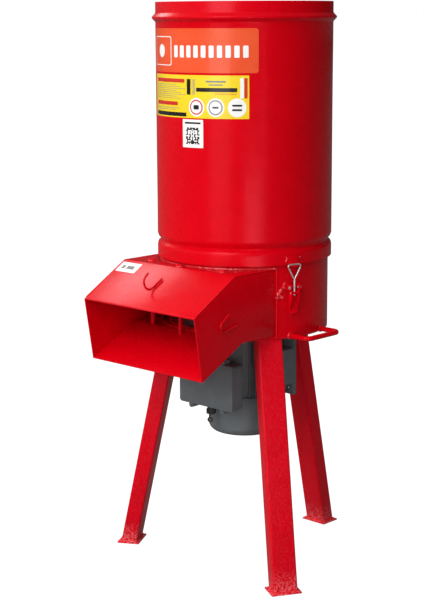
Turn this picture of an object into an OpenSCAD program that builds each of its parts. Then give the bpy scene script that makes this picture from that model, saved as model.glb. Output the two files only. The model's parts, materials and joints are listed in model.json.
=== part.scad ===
// Hammer mill with an upright shaft: a drum hopper over a round milling chamber,
// an outlet chute to the front, three splayed legs and a flanged motor below.
// The floor is at Z = 0, the chute faces -Y and the shaft stands a little behind the middle.

/* [Stand] */
// Height of the top face of the base plate above the floor
stand_height = 591; // [560:1:640]
// Thickness of the base plate
base_thickness = 10; // [8:1:14]
// Distance from the shaft to a leg's centre line under the base plate
leg_top_radius = 177; // [165:1:178]
// Distance from the shaft to a leg's centre line at its foot
leg_foot_radius = 297; // [260:1:320]
// Leg tube size across the radius
leg_width = 60; // [50:1:60]
// Leg tube size along the radius
leg_depth = 40; // [30:1:40]
// Wall of the leg tube
leg_wall = 3; // [2:0.5:4]
// Thickness of a foot plate
foot_thickness = 4; // [3:1:8]

/* [Chamber] */
// Outer radius of the chamber shell
chamber_radius = 202; // [200:0.5:203]
// Wall of the chamber shell
chamber_wall = 4; // [3:0.5:5]
// Height of the chamber shell
chamber_height = 199; // [190:1:199]
// Inner radius of the perforated screen
screen_radius = 174; // [172:1:176]

/* [Chute] */
// Half of the chute's outer width
chute_half_width = 181; // [170:1:185]
// Sheet thickness of the chute
chute_sheet = 3; // [2:0.5:4]
// Height of the flat top of the hood above the base plate
hood_rise = 157; // [150:1:158]
// Distance from the shaft to the bend of the hood
hood_bend = 230; // [224:1:250]
// Distance from the shaft to the front lip of the hood
lip_reach = 361; // [340:1:380]
// How far the front lip lies below the flat top
lip_drop = 78; // [60:1:90]
// Distance from the shaft to the front edge of the floor sheet
spout_reach = 337; // [320:1:340]
// How far the front edge of the floor sheet lies below the base plate's top
spout_drop = 69; // [50:1:80]

/* [Hopper] */
// Outer radius of the hopper drum
drum_radius = 210; // [210:0.5:212]
// Sheet thickness of the hopper drum
drum_sheet = 2; // [1.5:0.5:2]
// Height of the drum's rim above the floor
overall_height = 1354; // [1200:1:1500]
// How far the rolled bead stands out from the drum
bead_depth = 8.3; // [4:0.1:9]
// Radius of the feed hole in the hopper floor
feed_radius = 80; // [50:1:100]

/* [Rotor] */
// Distance from the shaft to a hammer pin
pin_circle = 92; // [90:1:94]
// Length of a hammer from its pin to its tip
hammer_reach = 70; // [60:1:70]
// Width of a hammer
hammer_width = 30; // [26:1:32]
// Thickness of a hammer
hammer_thickness = 8; // [6:1:10]

/* [Motor] */
// Radius of the motor frame over its fins
frame_radius = 88; // [86:1:88]
// Radius of the fan cowl
cowl_radius = 89; // [89:0.5:92]
// Distance from the shaft to the motor's foot plane
foot_plane = 90; // [90:1:96]
// Half of the width over the motor's feet
foot_half_width = 90; // [88:1:94]
// Half of the terminal lid's width
lid_half_width = 87; // [80:1:90]
// Distance from the shaft to the front of the terminal lid
lid_reach = 140; // [134:1:146]

/* [Hidden] */
$fn = 96;
fine = 720;

mill_red = "#c8102a";
motor_grey = "#55595c";
zinc = "#c9ccd0";
steel = "#8c9094";
copper = "#b06a3a";
far = 2000;
gap = 0.3;
running = 0.05;

// Stand
base_top = stand_height;
base_bottom = base_top - base_thickness;
leg_angles = [-30, -150, 90];
leg_drop = base_bottom - foot_thickness;
leg_splay = atan((leg_foot_radius - leg_top_radius) / leg_drop);
leg_corner = 5;
foot_size = [56, 74];

// Chamber
chamber_top = base_top + chamber_height;
window_half_width = 172;
window_low = 6;
window_high = 147;
screen_sheet_wall = 2;
screen_top = base_top + 155;
screen_outer = screen_radius + screen_sheet_wall;
frame_band = 8;
frame_bar = 10;

// Chute outline in the YZ plane, as [y, z]
hood_z = base_top + hood_rise;
lip_z = hood_z - lip_drop;
spout_z = base_top - spout_drop;
floor_bend = 207;
guard_places = [[-117, -199], [-6, -217], [119, -204]];
guard_radius = 5;
guard_head = 5;
hood_angle = atan(lip_drop / (lip_reach - hood_bend));
floor_angle = atan(spout_drop / (spout_reach - floor_bend));

// Handles and hooks
handle_rod = 6;
handle_reach = 250;
handle_half = 56;
handle_bend = 14;
handle_root = 190;
hook_rod = 3;
hook_setback = 52;
hook_dip = 14;
hook_lean = 8;
top_hook_x = -9;
top_hook = [34, 18.5, 6];
side_hook_y = 225;
side_hook_z = base_top + 47;
side_hook = [44, 11.5, 28];

// Hopper, heights above the floor
skirt_z = base_top + 165;
shoulder_z = skirt_z + 26;
neck_depth = 8;
neck_low = shoulder_z + 10;
neck_high = neck_low + 3;
drum_low = neck_high + 13;
bead_z = overall_height - 36;
bead_half = 12;
hopper_floor_z = drum_low + 1;
label_film = 0.3;

// Latches, in a frame whose X points out of the chamber wall: heights above the floor
latch_angle = -15;
lever_pivot = [14, base_top + 112];
loop_pivot = [12.3, base_top + 99];
latch_pin = 2.5;
bracket_low = base_top + 105;
bracket_high = base_top + 120.5;
bracket_sheet = 3;
ear_inner = 11.3;
ear_wall = 2.5;
ear_round = 5;
lever_half = 10.8;
lever_sheet = 1.5;
lever_back = 4;
lever_front = 18;
lever_low = base_top + 60;
lever_high = base_top + 118;
lever_tail = 9;
loop_wire = 1.8;
loop_stem = 2.3;
loop_half = 12;
loop_corner = 5;
loop_end = 5.5;
loop_throat = base_top + 130;
keeper_half = 15;
keeper_sheet = 2;
keeper_low = skirt_z - 4;
keeper_high = skirt_z + 22;
ledge_half = 8;
ledge_sheet = 2.5;
ledge_reach = 15;
ledge_room = 0.5;
loop_top = keeper_low + ledge_sheet + ledge_room + loop_wire;

// Rotor, heights above the floor
disc_sheet = 8;
disc_radius = pin_circle + 18;
disc_low = base_top + 15;
disc_gap = 26;
disc_high = disc_low + disc_sheet + disc_gap;
hammer_z = disc_low + disc_sheet + (disc_gap - hammer_thickness) / 2;
pin_radius = 6;
hub_radius = 32;
hub_low = base_top + 5;
hub_high = disc_high + disc_sheet + 6;
shaft_radius = 12;
shaft_top = base_bottom + 50;
journal_radius = 12.5;
core_seat = 15;
bolt_radius = 5;
key_size = [8, 7, 36];

// Motor, heights above the floor
flange_radius = 100;
flange_circle = 165 / 2;
flange_sheet = 12;
shield_neck = 71;
rear_radius = 79;
spigot_radius = 65;
spigot_rise = 3.5;
frame_high = base_bottom - 28;
frame_low = frame_high - 138;
frame_body = 78;
frame_bore = 72;
fin_count = 36;
fin_width = 3;
core_low = frame_low + 30;
core_high = core_low + 80;
core_radius = 47.5;
air_gap = 0.5;
bearing_radius = 26;
bearing_height = 12;
rear_low = frame_low - 18;
cowl_sheet = 2;
cowl_low = 315;
cowl_high = rear_low + 15;
cowl_corner = 20;
fan_low = cowl_low + 24;
fan_high = rear_low - 10;
fan_radius = 74;
foot_pad = 10;
foot_low = 400;
foot_high = 550;
foot_inner = 52;
foot_hole_x = 70;
foot_hole_z = [414, 539];
web_low = 430;
web_high = 518;
box_low = 397;
box_high = 508;
box_back = 100;
box_wall = 3;
lid_depth = 11;
box_corner = 7;
lid_ear_x = 51.5;
lid_ear_out = 4.4;
ear_radius = 7.2;
ear_depth = 14;
neck_height = 72;
neck_half = 40;
gland_x = -4;
gland_y = -116;
gland_bore = 5;
tie_angle = -64;
tie_reach = 8.5;
tie_eye = 5;
tie_wire = 1.8;

// The shaft stands behind the origin so that the whole mill is centred on it
shaft_y = (lip_reach - leg_foot_radius - foot_size[0] / 2) / 2;

// General shapes

module at_shaft() {
  translate([0, shaft_y, 0]) children();
}

module ring(outer, inner, low, high) {
  difference() {
    translate([0, 0, low]) cylinder(r = outer, h = high - low);
    translate([0, 0, low - 1]) cylinder(r = inner, h = high - low + 2);
  }
}

module rounded_plate(w, h, r) {
  square([w - 2 * r, h], center = true);
  square([w, h - 2 * r], center = true);
  for (x = [-1, 1], y = [-1, 1]) translate([x * (w / 2 - r), y * (h / 2 - r)]) circle(r = r);
}

module rod(r, h) {
  cylinder(r = r, h = h);
}

// A bend of a rod about the origin, starting from +X
module elbow(bend, r, angle = 90) {
  rotate_extrude(angle = angle) translate([bend, 0]) circle(r = r);
}

module both_sides() {
  children();
  mirror([1, 0, 0]) children();
}

// Places a shape drawn in the YZ plane, from x = -half to x = half
module across(half) {
  translate([-half, 0, 0]) rotate([90, 0, 90]) linear_extrude(2 * half) children();
}

// Stand

module base_plate() {
  color(mill_red) difference() {
    translate([0, 0, base_bottom]) cylinder(r = chamber_radius, h = base_thickness);
    translate([0, 0, base_bottom - 1]) cylinder(r = spigot_radius + gap, h = base_thickness + 2);
    flange_places() translate([0, 0, base_bottom - 1]) cylinder(r = 5.5, h = base_thickness + 2);
  }
}

module leg(angle) {
  color(mill_red) rotate([0, 0, angle]) intersection() {
    translate([leg_top_radius, 0, base_bottom]) rotate([0, -leg_splay, 0])
      translate([0, 0, -far / 2]) linear_extrude(far) difference() {
        rounded_plate(leg_depth, leg_width, leg_corner);
        rounded_plate(leg_depth - 2 * leg_wall, leg_width - 2 * leg_wall, leg_corner - leg_wall);
      }
    translate([0, -leg_width, foot_thickness]) cube([far / 4, 2 * leg_width, leg_drop]);
  }
}

module leg_front_right() { leg(leg_angles[0]); }

module leg_front_left() { leg(leg_angles[1]); }

module leg_rear() { leg(leg_angles[2]); }

module foot_plates() {
  color(mill_red) for (a = leg_angles) rotate([0, 0, a])
    translate([leg_foot_radius, 0, foot_thickness / 2])
      cube([foot_size[0], foot_size[1], foot_thickness], center = true);
}

// Chamber

module chamber_shell() {
  color(mill_red) difference() {
    ring(chamber_radius, chamber_radius - chamber_wall, base_top, chamber_top);
    translate([-window_half_width, -far / 2, base_top + window_low])
      cube([2 * window_half_width, far / 2, window_high - window_low]);
  }
}

module screen_sheet() {
  color(steel) ring(screen_outer, screen_radius, base_top, screen_top);
}

module screen_frame() {
  color(mill_red) {
    ring(screen_outer + frame_band, screen_outer, base_top, base_top + window_low);
    ring(chamber_radius - chamber_wall - gap, screen_outer, screen_top - window_low, screen_top);
  }
}

module screen_ribs() {
  color(mill_red) for (a = [15 : 30 : 345]) rotate([0, 0, a])
    translate([screen_outer + 0.5, -frame_bar / 2, base_top + window_low])
      cube([frame_band - 2, frame_bar, screen_top - base_top - 2 * window_low]);
}

// Chute

function hood_outer() = [
  [0, hood_z], [-hood_bend, hood_z], [-lip_reach, lip_z]
];

function hood_inner() = [
  [-lip_reach + chute_sheet * sin(hood_angle), lip_z - chute_sheet * cos(hood_angle)],
  [-hood_bend + chute_sheet * tan(hood_angle / 2), hood_z - chute_sheet],
  [0, hood_z - chute_sheet]
];

function floor_outer() = [
  [0, base_top], [-floor_bend, base_top], [-spout_reach, spout_z]
];

function floor_inner() = [
  [-spout_reach - chute_sheet * sin(floor_angle), spout_z + chute_sheet * cos(floor_angle)],
  [-floor_bend - chute_sheet * tan(floor_angle / 2), base_top + chute_sheet],
  [0, base_top + chute_sheet]
];

module hood_profile() { polygon(concat(hood_outer(), hood_inner())); }

module floor_profile() { polygon(concat(floor_outer(), floor_inner())); }

module side_profile() {
  difference() {
    polygon(concat(hood_outer(), [[-spout_reach, spout_z], [-floor_bend, base_top], [0, base_top]]));
    hood_profile();
  }
}

module outside_chamber() {
  difference() {
    children();
    translate([0, 0, base_bottom - 1]) cylinder(r = chamber_radius, h = chamber_height + 40);
    translate([-far / 2, 0, 0]) cube(far);
  }
}

module chute_hood() {
  color(mill_red) outside_chamber() across(chute_half_width) hood_profile();
}

module chute_side() {
  outside_chamber() translate([chute_half_width - chute_sheet / 2, 0, 0])
    across(chute_sheet / 2) side_profile();
}

module chute_side_right() { color(mill_red) chute_side(); }

module chute_side_left() { color(mill_red) mirror([1, 0, 0]) chute_side(); }

module chute_floor() {
  color(mill_red) outside_chamber() across(chute_half_width - chute_sheet) floor_profile();
}

module guard_bars() {
  color(mill_red) for (place = guard_places) translate([place[0], place[1], 0]) {
    translate([0, 0, hood_z]) cylinder(r = guard_radius + 3.5, h = guard_head);
    difference() {
      translate([0, 0, base_top - 30]) cylinder(r = guard_radius, h = hood_rise + 30 - chute_sheet);
      translate([0, -place[1], 0]) across(chute_half_width) polygon(concat(
        floor_inner(), [[0, base_top - 60], [-spout_reach, base_top - 90]]));
    }
  }
}

// Handles and bag hooks

module handle() {
  reach = handle_reach - handle_bend;
  difference() {
    translate([0, 0, base_top - base_thickness / 2]) {
      for (s = [-1, 1]) translate([handle_root, s * handle_half, 0]) rotate([0, 90, 0])
        rod(handle_rod, reach - handle_root);
      translate([handle_reach, -handle_half + handle_bend, 0]) rotate([-90, 0, 0])
        rod(handle_rod, 2 * (handle_half - handle_bend));
      for (s = [0, 1]) mirror([0, s, 0]) translate([reach, handle_half - handle_bend, 0])
        elbow(handle_bend, handle_rod);
    }
    translate([0, 0, base_bottom - 20]) cylinder(r = chamber_radius, h = chamber_height);
  }
}

module handle_right() { color(mill_red) handle(); }

module handle_left() { color(mill_red) mirror([1, 0, 0]) handle(); }

// A hook whose arm lies along +X and whose curl rises towards +Z at the far end
module bag_hook(arm, curl, tip) {
  rotate([0, 90, 0]) rod(hook_rod, arm);
  translate([arm, 0, curl]) rotate([90, 0, 0]) rotate([0, 0, -90]) elbow(curl, hook_rod, 180);
  translate([arm - tip, 0, 2 * curl]) rotate([0, 90, 0]) rod(hook_rod, tip);
}

module bag_hooks() {
  color(mill_red) {
    translate([top_hook_x, -hood_bend, hood_z]) rotate([hood_angle, 0, 0])
      translate([0, -hook_setback, hook_rod]) rotate([0, 0, -90])
        bag_hook(top_hook[0], top_hook[1], top_hook[2]);
    both_sides() translate([chute_half_width + hook_rod, -side_hook_y, side_hook_z])
      rotate([hook_dip, 0, 0]) rotate([0, hook_lean, 0]) rotate([0, 0, -90])
        bag_hook(side_hook[0], side_hook[1], side_hook[2]);
  }
}

// Draw latches: each is drawn at angle 0 and turned to its place on the chamber wall

module at_latch() {
  rotate([0, 0, latch_angle]) translate([chamber_radius, 0, 0]) children();
}

// A round bar across the latch, centred on y = 0
module cross_bar(place, r, half) {
  translate([place[0], -half, place[1]]) rotate([-90, 0, 0]) cylinder(r = r, h = 2 * half);
}

// A plate drawn as [x, z] points, from y = low to y = high
module latch_plate(low, high) {
  translate([0, high, 0]) rotate([90, 0, 0]) linear_extrude(high - low) children();
}

module latch_bracket() {
  difference() {
    union() {
      translate([-2, -ear_inner - ear_wall - 3, bracket_low])
        cube([bracket_sheet + 2, 2 * (ear_inner + ear_wall + 3), bracket_high - bracket_low]);
      for (s = [0, 1]) mirror([0, s, 0]) latch_plate(ear_inner, ear_inner + ear_wall) {
        translate([0, bracket_low]) square([lever_pivot[0], bracket_high - bracket_low]);
        translate([lever_pivot[0], lever_pivot[1]]) circle(r = ear_round);
      }
    }
    cross_bar(lever_pivot, latch_pin, far);
    translate([-chamber_radius, 0, base_top])
      cylinder(r = chamber_radius, h = chamber_height, $fn = fine);
  }
}

module latch_brackets() {
  color(mill_red) both_sides() at_latch() latch_bracket();
}

module latch_rivets() {
  color(zinc) both_sides() at_latch() for (s = [0, 1]) mirror([0, s, 0]) {
    translate([lever_pivot[0], lever_half - 2.5, lever_pivot[1]]) rotate([-90, 0, 0])
      cylinder(r = latch_pin, h = ear_inner + ear_wall - lever_half + 2.5);
    translate([lever_pivot[0], ear_inner + ear_wall, lever_pivot[1]]) rotate([-90, 0, 0])
      cylinder(r = latch_pin + 1.5, h = 1.5);
  }
}

module latch_lever() {
  difference() {
    union() {
      for (s = [0, 1]) mirror([0, s, 0]) latch_plate(lever_half - lever_sheet, lever_half) polygon([
        [lever_back, lever_low], [lever_back, lever_pivot[1] - 4], [lever_back + 5, lever_high],
        [lever_front, lever_high], [lever_front, loop_pivot[1] - 14], [lever_back + 5, lever_low]
      ]);
      latch_plate(-lever_half, lever_half) polygon([
        [lever_back, lever_pivot[1] - 10], [lever_back, lever_low],
        [lever_back + 7, lever_low - lever_tail], [lever_back + 7 + lever_sheet, lever_low - lever_tail],
        [lever_back + lever_sheet, lever_low], [lever_back + lever_sheet, lever_pivot[1] - 10]
      ]);
    }
    cross_bar(lever_pivot, latch_pin + running, far);
    cross_bar(loop_pivot, latch_pin + running, far);
  }
}

module latch_lever_right() { color(mill_red) at_latch() latch_lever(); }

module latch_lever_left() { color(mill_red) mirror([1, 0, 0]) at_latch() latch_lever(); }

module latch_loop() {
  centre_rise = loop_top - loop_corner - loop_throat;
  reach = norm([loop_half, centre_rise]);
  lean = atan2(centre_rise, loop_half) - asin(loop_corner / reach);
  side = sqrt(reach * reach - loop_corner * loop_corner);
  cross_bar(loop_pivot, latch_pin, lever_half);
  translate([loop_pivot[0], 0, loop_pivot[1] - loop_end])
    rod(loop_stem, loop_throat - loop_pivot[1] + loop_end + 2);
  translate([loop_pivot[0], -loop_half, loop_top]) rotate([-90, 0, 0]) rod(loop_wire, 2 * loop_half);
  for (s = [0, 1]) mirror([0, s, 0]) translate([loop_pivot[0], 0, 0]) {
    translate([0, 0, loop_throat]) rotate([lean - 90, 0, 0]) rod(loop_wire, side);
    translate([0, loop_half, loop_top - loop_corner]) rotate([0, 90, 0]) rotate([0, 0, 90])
      elbow(loop_corner, loop_wire, 180 - lean);
  }
}

module latch_loop_right() { color(zinc) at_latch() latch_loop(); }

module latch_loop_left() { color(zinc) mirror([1, 0, 0]) at_latch() latch_loop(); }

module latch_keepers() {
  face = drum_radius - chamber_radius;
  color(mill_red) both_sides() at_latch() difference() {
    translate([0, 0, keeper_low]) {
      translate([0, -keeper_half, 0])
        cube([face + keeper_sheet, 2 * keeper_half, keeper_high - keeper_low]);
      translate([0, -ledge_half, 0]) cube([ledge_reach, 2 * ledge_half, ledge_sheet]);
    }
    translate([-chamber_radius, 0, 0]) cylinder(r = drum_radius, h = far, $fn = fine);
  }
}

// Hopper

// Outline of the drum as [radius, height], moved inwards by inset
function drum_outline(inset) = [
  for (p = concat(
    [
      [0, skirt_z], [0, shoulder_z], [-neck_depth / 6, shoulder_z + 5],
      [-neck_depth / 2, shoulder_z + 8], [-neck_depth, neck_low], [-neck_depth, neck_high],
      [0, drum_low]
    ],
    [for (a = [0 : 30 : 360]) [bead_depth * (1 - cos(a)) / 2, bead_z - bead_half + bead_half * a / 180]],
    [[0, overall_height]]
  )) [drum_radius + p[0] - inset, p[1]]
];

function reversed(list) = [for (i = [len(list) - 1 : -1 : 0]) list[i]];

module hopper_drum() {
  color(mill_red) rotate_extrude($fn = 180)
    polygon(concat(drum_outline(0), reversed(drum_outline(drum_sheet))));
}

module hopper_floor() {
  color(mill_red)
    ring(drum_radius - drum_sheet - gap, feed_radius, hopper_floor_z, hopper_floor_z + 3);
}

// A film on the drum between two bearings and two heights
module drum_label(from, to, low, high) {
  rotate([0, 0, from]) rotate_extrude(angle = to - from, $fn = 180)
    translate([drum_radius, low]) square([label_film, high - low]);
}

module headline_label() {
  color("#f0562a") drum_label(-128, -38.8, overall_height - 159, overall_height - 60);
}

module notice_label() {
  color("#f2d21f") drum_label(-124.5, -44.6, overall_height - 261, overall_height - 164);
}

module code_label() {
  color("#f2f2f0") drum_label(-89.6, -74, overall_height - 328, overall_height - 264);
}

module power_label() {
  color("#f2f2f0") translate([0, -hood_bend, hood_z]) rotate([hood_angle, 0, 0])
    translate([-chute_half_width + 7, -43, 0]) cube([64, 34, label_film]);
}

// Rotor

module motor_shaft() {
  color(steel) difference() {
    union() {
      translate([0, 0, fan_low - 6]) cylinder(r = 9, h = rear_low - fan_low + 6);
      translate([0, 0, rear_low]) cylinder(r = journal_radius, h = core_low - 15 - rear_low);
      translate([0, 0, core_low - 15]) cylinder(r = core_seat, h = core_high - core_low + 30);
      translate([0, 0, core_high + 15])
        cylinder(r = journal_radius, h = base_bottom - 4 - core_high - 15);
      translate([0, 0, base_bottom - 4]) cylinder(r = shaft_radius, h = shaft_top - base_bottom + 4);
    }
    key_box(0);
    translate([0, 0, shaft_top - 27]) cylinder(r = bolt_radius, h = 28);
  }
}

// The key's own box, with room left over it in the hub
module key_box(room) {
  translate([-key_size[0] / 2, shaft_radius - 4, shaft_top - key_size[2] - 4])
    cube([key_size[0], key_size[1] + room, key_size[2]]);
}

module shaft_key() { color(steel) key_box(0); }

module rotor_core() { color(steel) ring(core_radius, core_seat, core_low, core_high); }

module motor_fan() {
  color("#202224") difference() {
    union() {
      translate([0, 0, fan_low]) cylinder(r = fan_radius, h = 3);
      translate([0, 0, fan_low]) cylinder(r = 15, h = fan_high - fan_low);
      for (a = [0 : 45 : 315]) rotate([0, 0, a]) translate([12, -1.5, fan_low])
        cube([fan_radius - 16, 3, fan_high - fan_low - 8]);
    }
    translate([0, 0, fan_low - 1]) cylinder(r = 9, h = fan_high);
  }
}

module rotor_hub() {
  color(steel) difference() {
    translate([0, 0, hub_low]) cylinder(r = hub_radius, h = hub_high - hub_low);
    translate([0, 0, hub_low - 1]) cylinder(r = shaft_radius, h = shaft_top - hub_low + 1 + gap);
    translate([0, 0, hub_low]) cylinder(r = bolt_radius + 0.5, h = far);
    key_box(0.2);
    translate([-key_size[0] / 2, 0, hub_low - 1])
      cube([key_size[0], shaft_radius + 3.2, shaft_top - 4 - hub_low + 1]);
  }
}

module rotor_disc(low) {
  difference() {
    ring(disc_radius, hub_radius, low, low + disc_sheet);
    at_pins() translate([0, 0, low - 1]) cylinder(r = pin_radius, h = disc_sheet + 2);
  }
}

module rotor_disc_lower() { color(steel) rotor_disc(disc_low); }

module rotor_disc_upper() { color(steel) rotor_disc(disc_high); }

module at_pins() {
  for (a = [0 : 90 : 270]) rotate([0, 0, a]) translate([pin_circle, 0, 0]) children();
}

module hammer_pins() {
  color(zinc) at_pins() {
    translate([0, 0, disc_low - 4]) cylinder(r = pin_radius, h = disc_high + disc_sheet - disc_low + 4);
    translate([0, 0, disc_high + disc_sheet]) cylinder(r = pin_radius + 3, h = 4);
    translate([0, 0, disc_low - 4]) cylinder(r = pin_radius + 2, h = 3);
  }
}

module pin_spacers() {
  slot_low = disc_low + disc_sheet;
  color(steel) at_pins() {
    ring(pin_radius + 4, pin_radius, slot_low, hammer_z - gap);
    ring(pin_radius + 4, pin_radius, hammer_z + hammer_thickness + gap, disc_high);
  }
}

module hammer(index) {
  color("#6b6e70") rotate([0, 0, 90 * (index - 1)]) translate([pin_circle, 0, hammer_z])
    linear_extrude(hammer_thickness) difference() {
      union() {
        circle(r = hammer_width / 2);
        translate([0, -hammer_width / 2]) square([hammer_reach, hammer_width]);
      }
      circle(r = pin_radius + running);
    }
}

module hammer_1() { hammer(1); }

module hammer_2() { hammer(2); }

module hammer_3() { hammer(3); }

module hammer_4() { hammer(4); }

module rotor_washer() { color(zinc) ring(15, bolt_radius + 0.5, hub_high, hub_high + 3); }

module rotor_bolt() {
  color(zinc) {
    translate([0, 0, hub_high + 3]) cylinder(r = 9.2, h = 6.4, $fn = 6);
    translate([0, 0, shaft_top - 25]) cylinder(r = bolt_radius, h = hub_high + 3 - shaft_top + 25);
  }
}

// Motor

module flange_places() {
  for (a = [45 : 90 : 315]) rotate([0, 0, a]) translate([flange_circle, 0, 0]) children();
}

module flange_bolts() {
  color(zinc) flange_places() {
    translate([0, 0, base_top]) cylinder(r = 9.2, h = 6.4, $fn = 6);
    translate([0, 0, base_bottom - flange_sheet - 10]) cylinder(r = 5, h = base_thickness + flange_sheet + 10);
  }
}

module flange_nuts() {
  color(zinc) flange_places() difference() {
    translate([0, 0, base_bottom - flange_sheet - 8]) cylinder(r = 9.2, h = 8, $fn = 6);
    translate([0, 0, base_bottom - flange_sheet - 9]) cylinder(r = 5, h = 10);
  }
}

module drive_end_shield() {
  color(motor_grey) difference() {
    union() {
      translate([0, 0, frame_high]) cylinder(r = shield_neck, h = base_bottom - frame_high);
      translate([0, 0, base_bottom - flange_sheet]) cylinder(r = flange_radius, h = flange_sheet);
      translate([0, 0, base_bottom]) cylinder(r = spigot_radius, h = spigot_rise);
    }
    translate([0, 0, frame_high - 1]) cylinder(r = bearing_radius, h = bearing_height + 3);
    translate([0, 0, frame_high]) cylinder(r = journal_radius + 1, h = far);
    ring(shield_neck - 9, bearing_radius + 8, frame_high - 1, frame_high + 10);
    flange_places() translate([0, 0, base_bottom - flange_sheet - 1])
      cylinder(r = 5.5, h = flange_sheet + 2);
  }
}

module fin_angles_clear() {
  for (i = [0 : fin_count - 1]) {
    a = i * 360 / fin_count;
    at_box = abs(a - 270) < 36;
    at_feet = abs(abs(a - 90) - 52) < 24;
    if (!at_box && !at_feet) rotate([0, 0, a]) children();
  }
}

module motor_frame() {
  color(motor_grey) difference() {
    union() {
      translate([0, 0, frame_low]) cylinder(r = frame_body, h = frame_high - frame_low);
      fin_angles_clear() translate([0, -fin_width / 2, frame_low + 2])
        cube([frame_radius, fin_width, frame_high - frame_low - 4]);
    }
    translate([0, 0, frame_low - 1]) cylinder(r = frame_bore, h = frame_high);
    translate([0, 0, frame_low + 22]) rotate([90, 0, 0]) cylinder(r = 6, h = frame_body + 2);
  }
}

module rear_end_shield() {
  color(motor_grey) difference() {
    union() {
      translate([0, 0, rear_low]) cylinder(r = rear_radius, h = frame_low - rear_low);
      for (a = [45 : 90 : 315]) rotate([0, 0, a]) translate([0, -7, rear_low + 2])
        cube([cowl_radius - cowl_sheet - gap, 14, 12]);
    }
    translate([0, 0, rear_low + 4]) cylinder(r = bearing_radius, h = far);
    translate([0, 0, rear_low - 1]) cylinder(r = journal_radius + 1, h = far);
    ring(rear_radius - 9, bearing_radius + 8, rear_low + 8, frame_low + 1);
    cowl_screw_places() cylinder(r = 2, h = 14);
  }
}

// Four places on the cowl's side, with Z pointing out along the radius
module cowl_screw_places() {
  for (a = [45 : 90 : 315]) rotate([0, 0, a])
    translate([rear_radius - 2, 0, rear_low + 8]) rotate([0, 90, 0]) children();
}

module cowl_screws() {
  color(zinc) cowl_screw_places() {
    cylinder(r = 2, h = cowl_radius - rear_radius + 2);
    translate([0, 0, cowl_radius - rear_radius + 2]) cylinder(r = 3.8, h = 2.2);
  }
}

// A cup's outline as [radius, height], with a rounded lower corner
module cup_profile(r, low, high, corner) {
  translate([0, low + corner]) square([r, high - low - corner]);
  translate([0, low]) square([r - corner, corner + 1]);
  intersection() {
    translate([r - corner, low + corner]) circle(r = corner);
    square([far, far]);
  }
}

module cowl_rings() {
  for (r = [20 : 11 : 64]) ring(r + 6, r, cowl_low - 1, cowl_low + cowl_sheet + 1);
}

module fan_cowl() {
  color(motor_grey) difference() {
    rotate_extrude() cup_profile(cowl_radius, cowl_low, cowl_high, cowl_corner);
    rotate_extrude() cup_profile(
      cowl_radius - cowl_sheet, cowl_low + cowl_sheet, cowl_high + 1, cowl_corner - cowl_sheet);
    difference() {
      cowl_rings();
      for (a = [0 : 60 : 120]) rotate([0, 0, a]) translate([-cowl_radius, -4, cowl_low - 2])
        cube([2 * cowl_radius, 8, 8]);
    }
    cowl_screw_places() cylinder(r = 2, h = 14);
  }
}

module motor_feet() {
  color(motor_grey) both_sides() difference() {
    union() {
      translate([foot_inner, foot_plane - foot_pad, foot_low])
        cube([foot_half_width - foot_inner, foot_pad, foot_high - foot_low]);
      translate([60, 34, web_low]) cube([foot_half_width - 60, foot_plane - 34, web_high - web_low]);
    }
    translate([0, 0, foot_low - 1]) cylinder(r = frame_body, h = foot_high);
    for (z = foot_hole_z) translate([foot_hole_x, foot_plane - foot_pad - 1, z]) rotate([-90, 0, 0])
      cylinder(r = 5, h = foot_pad + 2);
  }
}

module stator_core() { color(steel) ring(frame_bore, core_radius + air_gap, core_low, core_high); }

module stator_winding() {
  color(copper) {
    ring(frame_bore - 6, core_radius + 6, core_low - 18, core_low);
    ring(frame_bore - 6, core_radius + 6, core_high, core_high + 18);
  }
}

module motor_bearings() {
  color(zinc) for (low = [rear_low + 4, frame_high + 2])
    ring(bearing_radius, journal_radius + running, low, low + bearing_height);
}

// A block with rounded upright edges seen from the front, from y = back to y = front
module face_block(w, h, back, front, corner) {
  translate([0, -back, (box_low + box_high) / 2]) rotate([90, 0, 0])
    linear_extrude(front - back) rounded_plate(w, h, corner);
}

module at_lid_ears() {
  for (x = [-1, 1], z = [box_low - lid_ear_out, box_high + lid_ear_out]) translate([x * lid_ear_x, 0, z]) children();
}

// A post from y = -front to y = -back
module post(r, back, front) {
  translate([0, -back, 0]) rotate([90, 0, 0]) cylinder(r = r, h = front - back);
}

module terminal_box() {
  w = 2 * lid_half_width - 4;
  h = box_high - box_low - 4;
  seam = lid_reach - lid_depth;
  color(motor_grey) difference() {
    union() {
      difference() {
        face_block(w, h, box_back, seam, box_corner);
        face_block(w - 2 * box_wall, h - 2 * box_wall, box_back + box_wall, seam + 1, box_corner - box_wall);
      }
      translate([-neck_half, -box_back, frame_low + 4]) cube([2 * neck_half, box_back - 60, neck_height]);
      difference() {
        at_lid_ears() post(ear_radius, seam - ear_depth, seam);
        face_block(w - 2, h - 2, box_back, seam + 1, box_corner);
      }
    }
    translate([0, 0, frame_low - 1]) cylinder(r = frame_body, h = far);
    translate([-neck_half + 12, -box_back - box_wall - 1, frame_low + 16])
      cube([2 * neck_half - 24, box_back, neck_height - 24]);
    at_lid_ears() post(2, seam - ear_depth - 1, seam + 1);
    translate([gland_x, gland_y, box_low]) cylinder(r = 8, h = 8);
  }
}

module terminal_lid() {
  w = 2 * lid_half_width;
  h = box_high - box_low;
  seam = lid_reach - lid_depth;
  color(motor_grey) difference() {
    union() {
      face_block(w, h, seam, lid_reach, box_corner);
      at_lid_ears() post(ear_radius, seam, lid_reach - 3);
    }
    face_block(w - 10, h - 10, seam - 1, lid_reach - box_wall, box_corner - 3);
    at_lid_ears() post(2, seam - 1, lid_reach + 1);
  }
}

module lid_screws() {
  seam = lid_reach - lid_depth;
  color(zinc) at_lid_ears() {
    post(2, seam - ear_depth, lid_reach - 3);
    post(4, lid_reach - 3, lid_reach - 0.6);
  }
}

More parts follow.
